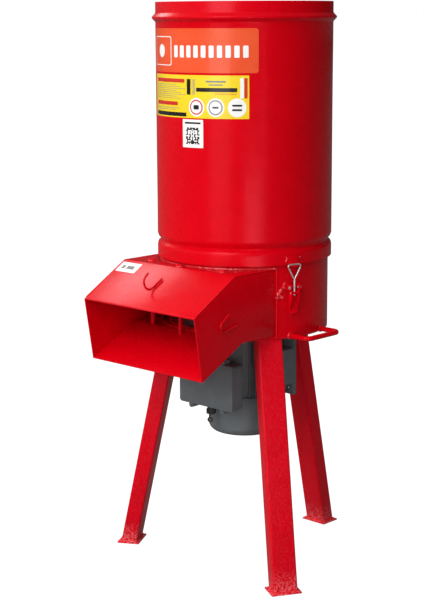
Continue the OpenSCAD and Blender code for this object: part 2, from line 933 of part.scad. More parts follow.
module cable_gland() {
  wall = box_low + 2;
  color("#2a2c2e") translate([gland_x, gland_y, 0]) {
    difference() {
      union() {
        translate([0, 0, wall - 6]) cylinder(r = 13, h = 6, $fn = 6);
        translate([0, 0, wall - 14]) cylinder(r = 9.5, h = 9);
        translate([0, 0, wall - 24]) cylinder(r = 12, h = 12, $fn = 6);
        translate([0, 0, wall - 1]) cylinder(r = 8, h = box_wall + 1);
        translate([0, 0, wall + box_wall]) cylinder(r = 12, h = 4, $fn = 6);
      }
      translate([0, 0, wall - 30]) cylinder(r = gland_bore, h = 60);
    }
    rotate([0, 0, tie_angle]) translate([tie_reach, 0, wall - 38]) {
      rotate([0, 90, 0]) rotate_extrude() translate([tie_eye, 0]) circle(r = tie_wire);
      translate([0, 0, tie_eye]) rod(tie_wire - 0.2, 15 - tie_eye);
    }
  }
}

at_shaft() base_plate();
at_shaft() leg_front_right();
at_shaft() leg_front_left();
at_shaft() leg_rear();
at_shaft() foot_plates();
at_shaft() chamber_shell();
at_shaft() chute_hood();
at_shaft() chute_side_right();
at_shaft() chute_side_left();
at_shaft() chute_floor();
at_shaft() guard_bars();
at_shaft() handle_right();
at_shaft() handle_left();
at_shaft() bag_hooks();
at_shaft() latch_brackets();
at_shaft() latch_rivets();
at_shaft() latch_lever_right();
at_shaft() latch_lever_left();
at_shaft() latch_loop_right();
at_shaft() latch_loop_left();
at_shaft() latch_keepers();
at_shaft() hopper_drum();
at_shaft() hopper_floor();
at_shaft() headline_label();
at_shaft() notice_label();
at_shaft() code_label();
at_shaft() power_label();
at_shaft() screen_sheet();
at_shaft() screen_frame();
at_shaft() screen_ribs();
at_shaft() motor_shaft();
at_shaft() shaft_key();
at_shaft() rotor_core();
at_shaft() motor_fan();
at_shaft() rotor_hub();
at_shaft() rotor_disc_lower();
at_shaft() rotor_disc_upper();
at_shaft() hammer_pins();
at_shaft() pin_spacers();
at_shaft() hammer_1();
at_shaft() hammer_2();
at_shaft() hammer_3();
at_shaft() hammer_4();
at_shaft() rotor_bolt();
at_shaft() rotor_washer();
at_shaft() motor_frame();
at_shaft() drive_end_shield();
at_shaft() rear_end_shield();
at_shaft() fan_cowl();
at_shaft() cowl_screws();
at_shaft() motor_feet();
at_shaft() stator_core();
at_shaft() stator_winding();
at_shaft() motor_bearings();
at_shaft() terminal_box();
at_shaft() terminal_lid();
at_shaft() lid_screws();
at_shaft() cable_gland();
at_shaft() flange_bolts();
at_shaft() flange_nuts();
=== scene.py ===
import json
import math
import random

import bmesh
import bpy
from mathutils import Matrix, Vector, noise


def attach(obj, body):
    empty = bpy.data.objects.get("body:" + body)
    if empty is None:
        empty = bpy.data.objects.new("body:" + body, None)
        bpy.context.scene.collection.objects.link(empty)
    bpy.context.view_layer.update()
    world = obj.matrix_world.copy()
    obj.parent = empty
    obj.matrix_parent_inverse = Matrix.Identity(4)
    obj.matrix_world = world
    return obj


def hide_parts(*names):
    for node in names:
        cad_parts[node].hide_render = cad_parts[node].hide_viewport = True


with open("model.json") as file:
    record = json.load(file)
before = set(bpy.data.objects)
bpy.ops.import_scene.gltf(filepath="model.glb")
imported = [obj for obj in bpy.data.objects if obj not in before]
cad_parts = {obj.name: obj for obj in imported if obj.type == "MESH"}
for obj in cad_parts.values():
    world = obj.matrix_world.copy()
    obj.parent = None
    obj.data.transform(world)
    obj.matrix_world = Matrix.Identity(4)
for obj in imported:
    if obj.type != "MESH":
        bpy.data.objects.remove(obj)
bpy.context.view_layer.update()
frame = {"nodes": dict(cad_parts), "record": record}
nodes = frame["nodes"]
record = frame["record"]
random.seed(7)

shaftY = 0.018      # the shaft stands this far behind the origin, in metres


def at(x, y, z):
    # a place measured from the shaft, in millimetres
    return Vector((x / 1000, y / 1000 + shaftY, z / 1000))


def around(radius, degrees, z):
    a = math.radians(degrees)
    return at(radius * math.cos(a), radius * math.sin(a), z)


# camera

camera = {
    "place": (2.388, -2.597, 1.3205),
    "turn": 43.69,      # degrees to the left of straight ahead
    "dip": 10.90,       # degrees below level
    "roll": 0.30,
    "lens": 88.42,
    "sensor": 36,
}

turn, dip, roll = (math.radians(camera[k]) for k in ("turn", "dip", "roll"))
cameraData = bpy.data.cameras.new("camera")
cameraData.sensor_fit = "VERTICAL"
cameraData.sensor_height = camera["sensor"]
cameraData.lens = camera["lens"]
cameraObject = bpy.data.objects.new("camera", cameraData)
bpy.context.scene.collection.objects.link(cameraObject)
cameraObject.matrix_world = (
    Matrix.Translation(camera["place"])
    @ Matrix.Rotation(turn, 4, "Z")
    @ Matrix.Rotation(math.radians(90) - dip, 4, "X")
    @ Matrix.Rotation(-roll, 4, "Z")
)
bpy.context.scene.camera = cameraObject
print("camera placed")

# light and floor

studio = {
    "backdrop": 1.0,       # how white the backdrop looks
    "fill": 1.3,           # light that comes from all round
    "sheen": 0.14,         # how much of that light shows as a reflection
    "brightest": (-0.70, -0.62, 0.35),     # the side the fill is brightest on
    "spread": (-0.6, 0.9),                 # where the fill starts and stops growing brighter
    "darkest": 0.06,                       # the fill's share left on the far side
    "floorSize": 40.0,
    "floorGlow": 0.95,     # keeps the floor near white away from the contact shadows
    "floorDust": 3.0,
    "floorRough": 0.9,
    "floorSpecular": 0.1,
    "floorColours": ("707070", "7a7a7a"),
}
lamps = {
    # place, target and size in metres, power in watts
    "front": ((0.8, -3.5, 2.7), (0, 0, 1.0), (2.0, 2.2), 80),
    "low": ((0.7, -3.4, 0.7), (0, 0, 0.6), (1.6, 1.0), 8),
    "side": ((1.6, -1.2, 0.4), (0.2, -0.1, 0.4), (0.7, 0.7), 6),
    "above": ((0.9, -1.2, 3.8), (0, -0.2, 0.6), (1.4, 1.4), 3),
    "glaze": ((-2.35, 0.1, 2.5), (-0.1, -0.3, 0.7), (1.2, 0.8), 13),
    "strip": ((3.4, -1.5, 1.1), (0, 0, 1.0), (0.25, 2.0), 2.5),
}


def linear(code):
    # an sRGB hex colour turned to linear
    def channel(v):
        v /= 255
        return v / 12.92 if v <= 0.04045 else ((v + 0.055) / 1.055) ** 2.4
    return tuple(channel(int(code[i:i + 2], 16)) for i in (0, 2, 4)) + (1.0,)


def add(tree, kind, inputs=None):
    # one node: each key is a property or a socket, each value a setting or another node's output
    node = tree.nodes.new(kind)
    for key, value in (inputs or {}).items():
        if isinstance(value, bpy.types.NodeSocket):
            tree.links.new(value, node.inputs[key])
        elif isinstance(key, str) and hasattr(node, key):
            setattr(node, key, value)
        else:
            node.inputs[key].default_value = value
    return node


def calc(tree, operation, *values):
    return add(tree, "ShaderNodeMath", {"operation": operation, **dict(enumerate(values))}).outputs[0]


def remap(tree, value, before=(0.0, 1.0), after=(0.0, 1.0)):
    return add(tree, "ShaderNodeMapRange", {
        "Value": value, "From Min": before[0], "From Max": before[1], "To Min": after[0], "To Max": after[1],
    }).outputs[0]


def blend(tree, share, first, second):
    # mixes two colours, each a hex code or another node's output
    first, second = (linear(c) if isinstance(c, str) else c for c in (first, second))
    return add(tree, "ShaderNodeMix", {"data_type": "RGBA", 0: share, 6: first, 7: second}).outputs[2]


def blobs(tree, place, across, detail, roughness=0.5):
    # a noise pattern whose blobs are this many millimetres across
    return add(tree, "ShaderNodeTexNoise", {
        "Vector": place, "Scale": 1000 / across, "Detail": detail, "Roughness": roughness,
    }).outputs["Fac"]


world = bpy.data.worlds.new("studio")
bpy.context.scene.world = world
world.use_nodes = True
tree = world.node_tree
tree.nodes.clear()
direction = add(tree, "ShaderNodeTexCoord").outputs["Generated"]
towards = add(tree, "ShaderNodeVectorMath", {
    "operation": "DOT_PRODUCT", 0: direction, 1: studio["brightest"],
})
shade = remap(tree, towards.outputs["Value"], studio["spread"], (studio["darkest"], 1.0))
seen = add(tree, "ShaderNodeLightPath")
mirrored = remap(tree, seen.outputs["Is Glossy Ray"], after=(studio["fill"], studio["sheen"]))
soft = add(tree, "ShaderNodeBackground", {
    "Color": (1, 1, 1, 1), "Strength": calc(tree, "MULTIPLY", shade, mirrored),
})
white = add(tree, "ShaderNodeBackground", {"Color": (1, 1, 1, 1), "Strength": studio["backdrop"]})
either = add(tree, "ShaderNodeMixShader", {
    0: seen.outputs["Is Camera Ray"], 1: soft.outputs[0], 2: white.outputs[0],
})
add(tree, "ShaderNodeOutputWorld", {"Surface": either.outputs[0]})

for name, (place, target, extent, power) in lamps.items():
    data = bpy.data.lights.new(name, "AREA")
    data.shape = "RECTANGLE"
    data.size, data.size_y = extent
    data.energy = power
    lamp = bpy.data.objects.new(name, data)
    bpy.context.scene.collection.objects.link(lamp)
    facing = (Vector(place) - Vector(target)).to_track_quat("Z", "Y").to_matrix().to_4x4()
    lamp.matrix_world = Matrix.Translation(place) @ facing
bpy.context.scene.view_settings.view_transform = "Standard"

floorPaint = bpy.data.materials.new("paleStudioFloor")
floorPaint.use_nodes = True
tree = floorPaint.node_tree
surface = tree.nodes["Principled BSDF"]
dust = add(tree, "ShaderNodeTexNoise", {
    "Vector": add(tree, "ShaderNodeTexCoord").outputs["Object"], "Scale": studio["floorDust"], "Detail": 3.0,
})
tree.links.new(blend(tree, dust.outputs["Fac"], *studio["floorColours"]), surface.inputs["Base Color"])
surface.inputs["Roughness"].default_value = studio["floorRough"]
surface.inputs["Specular IOR Level"].default_value = studio["floorSpecular"]
surface.inputs["Emission Color"].default_value = (1, 1, 1, 1)
glow = calc(tree, "MULTIPLY", add(tree, "ShaderNodeLightPath").outputs["Is Camera Ray"], studio["floorGlow"])
tree.links.new(glow, surface.inputs["Emission Strength"])
bm = bmesh.new()
bmesh.ops.create_grid(bm, x_segments=1, y_segments=1, size=studio["floorSize"])
floorMesh = bpy.data.meshes.new("studio_floor")
bm.to_mesh(floorMesh)
bm.free()
floorMesh.materials.append(floorPaint)
studioFloor = bpy.data.objects.new("studio_floor", floorMesh)
bpy.context.scene.collection.objects.link(studioFloor)
print("light and floor set")

# materials

paint = {
    # how far across each pattern's blobs are, in millimetres
    "waves": 38, "specks": 11, "patches": 60, "grit": 5,
    "waveShare": 2.0,               # how much deeper the waves are than the orange peel
    "speckEdge": (0.03, 0.07), "speckDepth": 0.5,
    "patchEdge": (0.58, 0.70),      # the specks gather where the patches are above this
    "gritEdge": (0.47, 0.62),
    "scuffHeight": (0.008, 0.055),  # the paint is scuffed pale below this, where feet and floors knock it
    "scuffColour": "ff868c",
    "dent": 0.0006,
}
# patterns in millimetres, dents in metres
steel = {"patches": 9, "lineEdge": (0.12, 0.42), "dent": 0.0002}
moulding = {"broader": 16, "dent": 0.0004}
filmFinish = {"grain": 5.0, "bump": 0.10, "rough": (0.22, 0.34)}
screen = {
    "around": 156,                  # holes in a full turn, 7 mm apart
    "row": 6.1,                     # millimetres from row to row, each half a hole further round
    "holeEdge": (0.28, 0.33),       # where the hole's blurred rim starts and ends, as parts of the spacing
    "dark": "0a0a0a", "sheet": ("5c5f61", "9a9da0"), "grain": 3.0,
}


def material(name, base, settings, build):
    # a Principled surface: constants go straight on its sockets, build adds the pattern
    made = bpy.data.materials.new(name)
    made.use_nodes = True
    tree = made.node_tree
    surface = tree.nodes["Principled BSDF"]
    surface.inputs["Base Color"].default_value = linear(base)
    for key, value in settings.items():
        surface.inputs[key].default_value = value
    build(tree, surface, add(tree, "ShaderNodeTexCoord").outputs["Object"])
    made.diffuse_color = linear(base)
    return made


def dress(tree, surface, colour, gloss, height, bump, dent):
    # ties a pattern's colour, roughness and relief to the surface
    relief = add(tree, "ShaderNodeBump", {"Strength": bump, "Distance": dent, "Height": height})
    for key, source in (("Base Color", colour), ("Roughness", gloss), ("Normal", relief.outputs[0])):
        tree.links.new(source, surface.inputs[key])


def enamel(dark, light, grain=2.6, bump=0.12, rough=(0.20, 0.34), dusting=0.0, scuffs=0.0):
    def build(tree, surface, place):
        peel = blobs(tree, place, grain, 2.0, 0.4)
        waves = blobs(tree, place, paint["waves"], 3.0)
        patches = blobs(tree, place, paint["patches"], 4.0)
        grit = blobs(tree, place, paint["grit"], 4.0, 0.7)
        specks = add(tree, "ShaderNodeTexVoronoi", {
            "feature": "F1", "Vector": place, "Scale": 1000 / paint["specks"],
        })
        speck = remap(tree, specks.outputs["Distance"], paint["speckEdge"], (paint["speckDepth"], 0.0))
        few = remap(tree, patches, paint["patchEdge"])
        tint = blend(tree, waves, dark, light)
        colour = blend(tree, calc(tree, "MULTIPLY", speck, few), tint, dark)
        rise = add(tree, "ShaderNodeSeparateXYZ", {0: place}).outputs["Z"]
        knocked = remap(tree, rise, paint["scuffHeight"], (scuffs, dusting))
        pale = remap(tree, grit, paint["gritEdge"], (0.0, knocked))
        worn = blend(tree, pale, colour, paint["scuffColour"])
        height = calc(tree, "MULTIPLY_ADD", waves, paint["waveShare"], peel)
        dress(tree, surface, worn, remap(tree, patches, after=rough), height, bump, paint["dent"])
    return build


def metal(dark, light, grain, stretch=(1, 1, 1), rough=(0.25, 0.42), bump=0.06):
    def build(tree, surface, place):
        drawn = add(tree, "ShaderNodeMapping", {"Vector": place, "Scale": stretch})
        lines = blobs(tree, drawn.outputs[0], grain, 3.0)
        patches = blobs(tree, place, steel["patches"], 2.0)
        share = remap(tree, calc(tree, "MULTIPLY", lines, patches), steel["lineEdge"])
        colour = blend(tree, share, dark, light)
        dress(tree, surface, colour, remap(tree, share, after=rough[::-1]), lines, bump, steel["dent"])
    return build


def moulded(dark, light, grain, bump, rough):
    def build(tree, surface, place):
        fine = blobs(tree, place, grain, 3.0)
        broad = blobs(tree, place, grain * moulding["broader"], 2.0)
        colour = blend(tree, broad, dark, light)
        dress(tree, surface, colour, remap(tree, broad, after=rough), fine, bump, moulding["dent"])
    return build


def vinyl(dark, light):
    # a printed film, laid over the drum's slight waves
    return moulded(dark, light, **filmFinish)


def perforated(tree, surface, place):
    # round holes in staggered rows, drawn dark on the rolled sheet
    metal(*screen["sheet"], screen["grain"])(tree, surface, place)
    centred = add(tree, "ShaderNodeMapping", {"Vector": place, "Location": (0, -shaftY, 0)})
    parts = add(tree, "ShaderNodeSeparateXYZ", {0: centred.outputs[0]}).outputs
    angle = calc(tree, "ARCTAN2", parts["Y"], parts["X"])
    along = calc(tree, "MULTIPLY", angle, screen["around"] / (2 * math.pi))
    up = calc(tree, "MULTIPLY", parts["Z"], 1000 / screen["row"])
    half = calc(tree, "MULTIPLY", calc(tree, "FLOOR", up), 0.5)
    across = calc(tree, "FRACT", calc(tree, "ADD", along, half))
    spot = add(tree, "ShaderNodeCombineXYZ", {"X": across, "Y": calc(tree, "FRACT", up)})
    away = add(tree, "ShaderNodeVectorMath", {"operation": "DISTANCE", 0: spot.outputs[0], 1: (0.5, 0.5, 0)})
    sheet = remap(tree, away.outputs["Value"], screen["holeEdge"])
    plain = surface.inputs["Base Color"].links[0].from_socket
    tree.links.new(blend(tree, sheet, screen["dark"], plain), surface.inputs["Base Color"])


redGleam = {"IOR": 1.5, "Specular Tint": (1.0, 0.22, 0.30, 1.0), "Coat Weight": 0.03}
printed = {"IOR": 1.46, "Coat Weight": 0.3}
paper = {"IOR": 1.46}

# Gloss enamel sprayed on mild steel: deep red, rippled like orange skin close to.
redEnamel = material("redEnamelSprayed", "d2000e",
                     {**redGleam, "Specular IOR Level": 0.30, "Coat Roughness": 0.12},
                     enamel("ca000e", "da0014"))
# The same enamel brushed over welds and on the legs: lumpier, a little duller, with pale dust in it.
redBrushed = material("redEnamelBrushed", "d40012",
                      {**redGleam, "Specular IOR Level": 0.35, "Coat Roughness": 0.2},
                      enamel("cc0012", "e0001c", grain=4.5, bump=0.42, rough=(0.26, 0.42), dusting=0.05,
                             scuffs=0.8))
# The same enamel run thick over weld beads, where it catches the light; its colour is lightened towards pale
# pink as a painted highlight.
redWeldPaintedHighlight = material("redEnamelOverWeldPaintedHighlight", "dc1020",
                   {"IOR": 1.5, "Specular IOR Level": 0.6, "Coat Weight": 0.7, "Coat Roughness": 0.08},
                   enamel("c80410", "f03a44", grain=4, bump=0.5, rough=(0.18, 0.30)))
# Satin machine enamel on cast aluminium and pressed steel: mid grey, slightly pebbled.
motorEnamel = material("greyMachineEnamel", "55595c", {"IOR": 1.5},
                       moulded("565b5e", "6d7275", grain=1.6, bump=0.18, rough=(0.38, 0.52)))
# Bright zinc plate: silvery with a faint blue-yellow cast and soft smears.
zincPlate = material("brightZincPlate", "dcdcd8", {"Metallic": 0.75}, metal("c4c6c8", "f6f6f0", grain=2.0))
# Turned and sawn mild steel: grey with fine tool lines.
bareSteel = material("turnedMildSteel", "8c8f92", {"Metallic": 1.0},
                     metal("6c6f72", "a3a5a7", grain=1.2, stretch=(1, 1, 6)))
# Hardened steel strip left black from the furnace, worn grey.
hammerSteel = material("hardenedBlackStrip", "5a5b5d", {"Metallic": 1.0},
                       metal("3c3b3b", "7c7d80", grain=4.0, rough=(0.40, 0.60), bump=0.15))
# Perforated mild-steel sheet rolled into a ring.
screenSheet = material("perforatedSteelSheet", "888b8e", {"Metallic": 0.9}, perforated)
# Enamelled copper wire under brown varnish.
copperWire = material("varnishedCopperWire", "a5602c", {"Metallic": 0.8},
                      metal("7c3f18", "c0753a", grain=1.2, stretch=(1, 1, 8), rough=(0.30, 0.45), bump=0.3))
# Moulded nylon: matt black with a fine spark-eroded grain.
blackNylon = material("mouldedBlackNylon", "202122", {"IOR": 1.5},
                      moulded("1a1b1c", "27282a", grain=0.8, bump=0.2, rough=(0.42, 0.55)))
# Screen-printed vinyl film with a clear coat, and plain paper film without one.
orangeFilm = material("orangeVinylFilm", "ee4f22", printed, vinyl("e64a1e", "f25a2c"))
yellowFilm = material("yellowVinylFilm", "f3d51c", printed, vinyl("ecc814", "f8e02c"))
whiteFilm = material("whitePaperFilm", "f2f2f0", paper, vinyl("eaeae8", "f8f8f6"))
redFilm = material("redPrintedFilm", "d02a1e", printed, vinyl("c4241a", "da3426"))
blackFilm = material("blackPrintedFilm", "1c1a1a", printed, vinyl("161414", "242020"))
greyFilm = material("greyPrintedFilm", "8a8a86", paper, vinyl("807f7c", "949490"))

slotMaterials = {
    "red_paint": redEnamel, "zinc_plate": zincPlate, "bare_steel": bareSteel, "hammer_steel": hammerSteel,
    "motor_paint": motorEnamel, "copper_wire": copperWire, "black_plastic": blackNylon,
    "orange_sticker": orangeFilm, "yellow_sticker": yellowFilm, "white_sticker": whiteFilm,
}
nodeMaterials = {
    "screen_sheet": screenSheet, "leg_front_right": redBrushed, "leg_front_left": redBrushed,
    "leg_rear": redBrushed, "foot_plates": redBrushed, "guard_bars": redBrushed, "screen_frame": redBrushed,
    "screen_ribs": redBrushed, "lid_screws": motorEnamel, "cowl_screws": motorEnamel,
}
slotOf = {part["node"]: part["material_slot"] for part in record["subparts"]}
for name, obj in nodes.items():
    obj.data.materials.clear()
    obj.data.materials.append(nodeMaterials.get(name, slotMaterials[slotOf[name]]))
print("materials made")

# helpers for new pieces

bodyOf = {member: body for body, members in record["behaviour"]["bodies"].items() for member in members}


def finished(name, mesh, body, surface, smooth, replaces=()):
    # links a piece, gives it its finish and ties it to its moving body
    obj = bpy.data.objects.new(name, mesh)
    bpy.context.scene.collection.objects.link(obj)
    mesh.materials.append(surface)
    mesh.shade_smooth()
    mesh.set_sharp_from_angle(angle=math.radians(smooth))
    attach(obj, body)
    if replaces:
        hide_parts(*replaces)


def meshOf(bm, name, outward=True):
    if outward:
        bmesh.ops.recalc_face_normals(bm, faces=bm.faces)
    mesh = bpy.data.meshes.new(name)
    bm.to_mesh(mesh)
    bm.free()
    return mesh


def sweep(points, radius, closed=False, sides=10, ripple=0.0):
    # a round bar along points in metres; ripple makes its thickness uneven, as a weld bead's
    curve = bpy.data.curves.new("bar", "CURVE")
    curve.dimensions = "3D"
    curve.bevel_depth = radius / 1000
    curve.bevel_resolution = max(1, sides // 4)
    curve.use_fill_caps = True
    spline = curve.splines.new("POLY")
    spline.points.add(len(points) - 1)
    for i, p in enumerate(points):
        spline.points[i].co = (*p, 1)
        if ripple:
            spline.points[i].radius = 1 + ripple * noise.noise(Vector(p) * weld["rippleScale"])
    spline.use_cyclic_u = closed
    holder = bpy.data.objects.new("bar", curve)
    bpy.context.scene.collection.objects.link(holder)
    mesh = bpy.data.meshes.new_from_object(holder.evaluated_get(bpy.context.evaluated_depsgraph_get()))
    bpy.data.objects.remove(holder)
    bpy.data.curves.remove(curve)
    return mesh


def joined(meshes, name):
    bm = bmesh.new()
    for mesh in meshes:
        bm.from_mesh(mesh)
        bpy.data.meshes.remove(mesh)
    return meshOf(bm, name)


def spun(profile, steps):
    # a closed outline of (radius, height) in millimetres turned about the shaft
    bm = bmesh.new()
    ring = [bm.verts.new(at(r, 0, z)) for r, z in profile]
    edges = [bm.edges.new(pair) for pair in zip(ring, ring[1:] + ring[:1])]
    bmesh.ops.spin(bm, geom=ring + edges, cent=at(0, 0, 0), axis=(0, 0, 1), angle=2 * math.pi, steps=steps,
                   use_merge=True, use_duplicate=False)
    return bm


# hopper drum, in millimetres

drum = {
    "radius": 210, "wall": 2, "top": 1354, "edge": 0.4, "edgeDown": 1.0, "steps": 180, "smooth": 32,
    "bead": 1318, "beadDepth": 8.3, "beadHalf": 12, "beadSteps": 12,
    "skirt": 756, "skirtMiddle": 770,
    "neck": 793.5, "neckDepth": 8,
    # the neck from below to above: part of its depth, and height from its middle
    "neckShape": ((0, -13.5), (0.0625, -9.5), (0.25, -5.5), (0.75, -3), (1, -1), (1, 1), (0.8, 5),
                  (0.275, 10), (0, 16.5)),
    "bodyLow": 814, "bodyHigh": 1306, "bodySteps": 10,
    "out": 0.5,       # how far hand-rolling left the wall uneven
    "wavy": (815, 1296), "wavyFade": 60,
    "wavyRound": 1.6, "wavyUp": 3,
}


def drumLine(inset):
    # the wall's outline from the skirt up to the rim, moved in by inset
    r = drum["radius"] - inset
    line = [(r, drum["skirt"]), (r, drum["skirtMiddle"])]
    line += [(r - share * drum["neckDepth"], drum["neck"] + z) for share, z in drum["neckShape"]]
    step = (drum["bodyHigh"] - drum["bodyLow"]) / drum["bodySteps"]
    line += [(r, drum["bodyLow"] + step * i) for i in range(drum["bodySteps"])]
    for i in range(drum["beadSteps"] + 1):
        a = 2 * math.pi * i / drum["beadSteps"]
        line.append((r + drum["beadDepth"] * (1 - math.cos(a)) / 2,
                     drum["bead"] - drum["beadHalf"] + drum["beadHalf"] * a / math.pi))
    line.append((r, drum["top"] - drum["edgeDown"]))
    return line


def fade(value):
    return min(1, max(0, value / drum["wavyFade"]))


rimRadii = (drum["radius"] - drum["edge"], drum["radius"] - drum["wall"] + drum["edge"])
rim = [(r, drum["top"]) for r in rimRadii]
bm = spun(drumLine(0) + rim + drumLine(drum["wall"])[::-1], drum["steps"])
for v in bm.verts:
    # hand-rolled sheet is never quite round
    outward = Vector((v.co.x, v.co.y - shaftY, 0)).normalized()
    middle = fade(v.co.z * 1000 - drum["wavy"][0]) * fade(drum["wavy"][1] - v.co.z * 1000)
    wave = Vector((outward.x * drum["wavyRound"], outward.y * drum["wavyRound"], v.co.z * drum["wavyUp"]))
    v.co -= outward * (abs(noise.noise(wave) * drum["out"] / 1000) * middle)
finished("hopper_shell", meshOf(bm, "hopper_shell"), "hopper", redEnamel, drum["smooth"],
         replaces=["hopper_drum"])
print("drum turned")

# softened sheet metal: how far each node's edges are rounded, in millimetres

edgeRound = {
    "chute_hood": 1.2, "chute_side_right": 1.2, "chute_side_left": 1.2, "chute_floor": 1.0,
    "leg_front_right": 0.6, "leg_front_left": 0.6, "leg_rear": 0.6, "foot_plates": 0.8,
    "base_plate": 1.2, "latch_brackets": 0.5, "latch_lever_right": 0.4, "latch_lever_left": 0.4,
    "latch_keepers": 0.4, "terminal_box": 1.0, "terminal_lid": 2.2, "motor_feet": 1.8,
    "flange_bolts": 0.6, "flange_nuts": 0.6, "guard_bars": 0.8, "drive_end_shield": 1.2,
    "rotor_bolt": 0.6, "cable_gland": 0.5, "lid_screws": 0.5,
}
softening = {"merge": 1e-5, "flat": 0.6, "sharp": 30, "segments": 2, "smooth": 38}     # angles in degrees

for node, width in edgeRound.items():
    bm = bmesh.new()
    bm.from_mesh(nodes[node].data)
    bmesh.ops.remove_doubles(bm, verts=bm.verts, dist=softening["merge"])
    bmesh.ops.dissolve_limit(bm, angle_limit=math.radians(softening["flat"]), verts=bm.verts, edges=bm.edges)
    sharpest = math.radians(softening["sharp"])
    sharp = [e for e in bm.edges if len(e.link_faces) == 2 and e.calc_face_angle(0) > sharpest]
    bmesh.ops.bevel(bm, geom=sharp, offset=width / 1000, offset_type="OFFSET",
                    segments=softening["segments"], profile=0.5, affect="EDGES", material=-1,
                    clamp_overlap=True)
    finished(node + "_soft", meshOf(bm, node + "_soft", outward=False), bodyOf[node],
             nodes[node].data.materials[0], softening["smooth"], [node])
print("edges softened")

# weld beads: places and radii in millimetres, measured from the shaft

weld = {
    "ripple": 0.55, "rippleScale": 160,
    "step": 3.0,          # distance between a bead's ripples
    "sides": 12, "filletSides": 16, "smooth": 60,
    "hood": 748,          # top of the hood's flat part
    "halfWidth": 181,     # half the chute's width
    "chamber": 202,       # outside of the chamber
    "lumpRough": 0.55, "lumpScale": 260, "lumpSeed": 90,
}
filletRun = {
    "post": {"x": 181.2, "back": 1.4, "low": 583, "high": 748, "radius": 3.0},
    "slope": {"x": 179.8, "start": (-231, 746.2), "end": (-355, 673.8), "radius": 1.3},
}
standRun = {
    "hoodArc": {"out": 1.0, "up": 0.6, "radius": 2.8},
    "handles": {"x": 194.6, "y": (-56, 56), "z": 586, "ring": 6.6, "radius": 1.8},
    "sideHook": {"x": 182.0, "start": (-224, 634.4), "end": (-248, 629.4), "radius": 1.6},
    "studs": {"places": ((-117, -199), (-6, -217), (119, -204)), "up": 0.4, "ring": 8.8, "radius": 1.6},
    "topHook": {"x": (-12.6, -5.4), "start": (-276, 722.2), "end": (-296, 710.4), "radius": 1.4},
    "legs": {"turns": (-30, -150, 90), "ends": ((177, 582.0), (297, 5.0)), "deep": 20.6, "wide": 30.4,
             "radius": 2.0},
}
latchSide = {1: -15, -1: 195}      # the angle each latch stands at, in degrees
tacks = {
    # degrees from the latch, height and radius of each lump of weld
    "bracket": ((-5.4, 711, 4.0), (-6.2, 703, 4.6), (-8.4, 695, 5.4), (-10.0, 688, 5.6), (-10.6, 680, 4.6),
                (-7.4, 680, 4.8), (-8.6, 683, 4.2), (5.2, 706, 3.2), (5.4, 699, 3.0)),
    "keeper": ((-5.6, 766, 2.6), (-4.9, 770, 3.0), (-5.2, 774, 2.2), (4.8, 772, 2.4)),
    "bracketRadius": 202.6, "keeperRadius": 210.6,
}
seam = {"radius": 210.2, "turn": 90, "low": 812, "high": 1300, "bead": 1.2}


def stepsBetween(a, b):
    count = max(2, round((b - a).length * 1000 / weld["step"]))
    return [a.lerp(b, i / count) for i in range(count + 1)]


def arcPoints(radius, fromAngle, toAngle, z):
    count = max(4, round(radius * math.radians(toAngle - fromAngle) / weld["step"]))
    return [around(radius, fromAngle + (toAngle - fromAngle) * i / count, z) for i in range(count + 1)]


def bead(points, radius, closed=False):
    return sweep(points, radius, closed, weld["sides"], weld["ripple"])


def ringBead(centre, axis, ring, radius):
    turnTo = Vector(axis).to_track_quat("Z", "Y").to_matrix()
    count = max(12, round(2 * math.pi * ring / weld["step"]))
    points = [centre + turnTo @ Vector((math.cos(a), math.sin(a), 0)) * ring / 1000
              for a in (2 * math.pi * i / count for i in range(count))]
    return bead(points, radius, closed=True)


def lump(centre, radius):
    # a rough blob of weld
    bm = bmesh.new()
    bmesh.ops.create_icosphere(bm, subdivisions=3, radius=radius / 1000)
    for v in bm.verts:
        v.co *= 1 + weld["lumpRough"] * noise.noise(v.co * weld["lumpScale"] + centre * weld["lumpSeed"])
    bmesh.ops.translate(bm, vec=centre, verts=bm.verts)
    mesh = bpy.data.meshes.new("lump")
    bm.to_mesh(mesh)
    bm.free()
    return mesh


def tackLumps(rows, radius):
    # the same lumps beside both latches, mirrored
    return [lump(around(radius, latchSide[side] + side * turned, z), size)
            for side in (-1, 1) for turned, z, size in rows]


reach = math.degrees(math.asin(weld["halfWidth"] / weld["chamber"]))
cornerY = -weld["chamber"] * math.cos(math.radians(reach))
fillets = []
for side in (-1, 1):
    run = filletRun["post"]
    foot, head = (at(side * run["x"], cornerY + run["back"], run[end]) for end in ("low", "high"))
    fillets.append(sweep([foot, head], run["radius"], sides=weld["filletSides"]))
    run = filletRun["slope"]
    ends = [at(side * run["x"], *run[end]) for end in ("start", "end")]
    fillets.append(sweep(ends, run["radius"], sides=weld["filletSides"]))
finished("corner_fillets", joined(fillets, "corner_fillets"), "stand", redEnamel, weld["smooth"])

